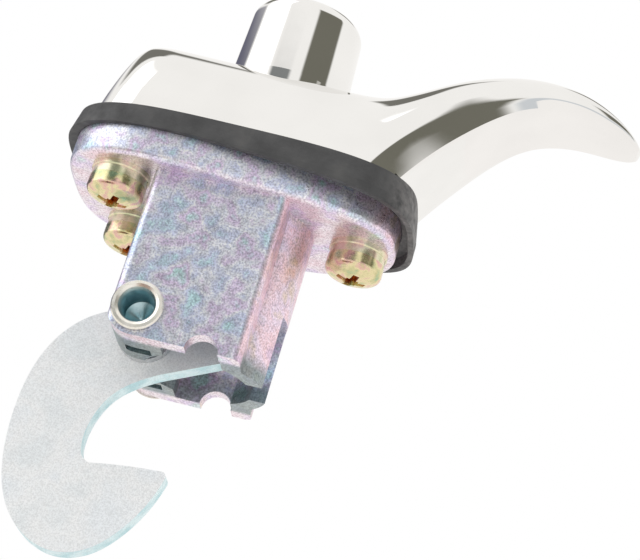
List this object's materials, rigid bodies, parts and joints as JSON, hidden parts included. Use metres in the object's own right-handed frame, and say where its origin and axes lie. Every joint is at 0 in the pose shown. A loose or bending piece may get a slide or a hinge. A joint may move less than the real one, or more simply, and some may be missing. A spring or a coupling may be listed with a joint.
{
  "type": "push-button lid latch handle",
  "caption": "Chrome grab handle with a curved finger blade and a push button that swings a hooked latch lever below a rubber gasket.",
  "frame": {"origin": "middle of the gasket's seating face, on the lid's outer skin", "axes": "+Z out of the lid along the button, +X along the handle towards the tip of its finger blade, Y across it"},
  "size_m": [0.1163, 0.0466, 0.1285],
  "materials": {
    "chrome_plate": "polished bright chrome plate",
    "gasket_rubber": "moulded black rubber, slightly worn",
    "zinc_casting": "passivated zinc die casting with a fine sparkle and faint pink and blue tints",
    "plated_hook": "bright zinc-plated pressed steel",
    "plated_steel": "clear zinc-plated steel",
    "spring_steel": "oiled spring wire",
    "yellow_plate": "yellow passivated zinc plate"
  },
  "bodies": {
    "latch_body": {"grab_handle": "chrome_plate", "base_gasket": "gasket_rubber", "button_seal": "gasket_rubber", "lock_housing": "zinc_casting", "pivot_rivet": "plated_steel", "hook_spacer": "plated_steel", "spring_cup": "plated_steel", "button_spring": "spring_steel", "hook_spring": "spring_steel", "screw_front_left": "yellow_plate", "spring_washer_front_left": "yellow_plate", "flat_washer_front_left": "yellow_plate", "screw_back_left": "yellow_plate", "spring_washer_back_left": "yellow_plate", "flat_washer_back_left": "yellow_plate", "screw_right": "yellow_plate", "spring_washer_right": "yellow_plate", "flat_washer_right": "yellow_plate"},
    "button": {"push_button": "chrome_plate", "button_plunger": "plated_steel", "plunger_clip": "spring_steel"},
    "hook": {"hook_lever": "plated_hook"}
  },
  "joints": [
    {"name": "button_press", "type": "slide", "parent": "latch_body", "child": "button", "axis": [0, 0, -1], "range_m": [0, 0.0062], "stiffness_N_per_m": 1200, "springref_m": -0.01, "deforming": ["button_spring"]},
    {"name": "hook_swing", "type": "hinge", "parent": "latch_body", "child": "hook", "pos_m": [-0.0083, 0, -0.0361], "axis": [0, 1, 0], "range_deg": [0, 25.5], "stiffness_Nm_per_rad": 0.12, "springref_deg": -17.19}
  ],
  "couplings": [
    {"joint": "hook_swing", "follows": "button_press", "rad_per_m": 71.221}
  ]
}
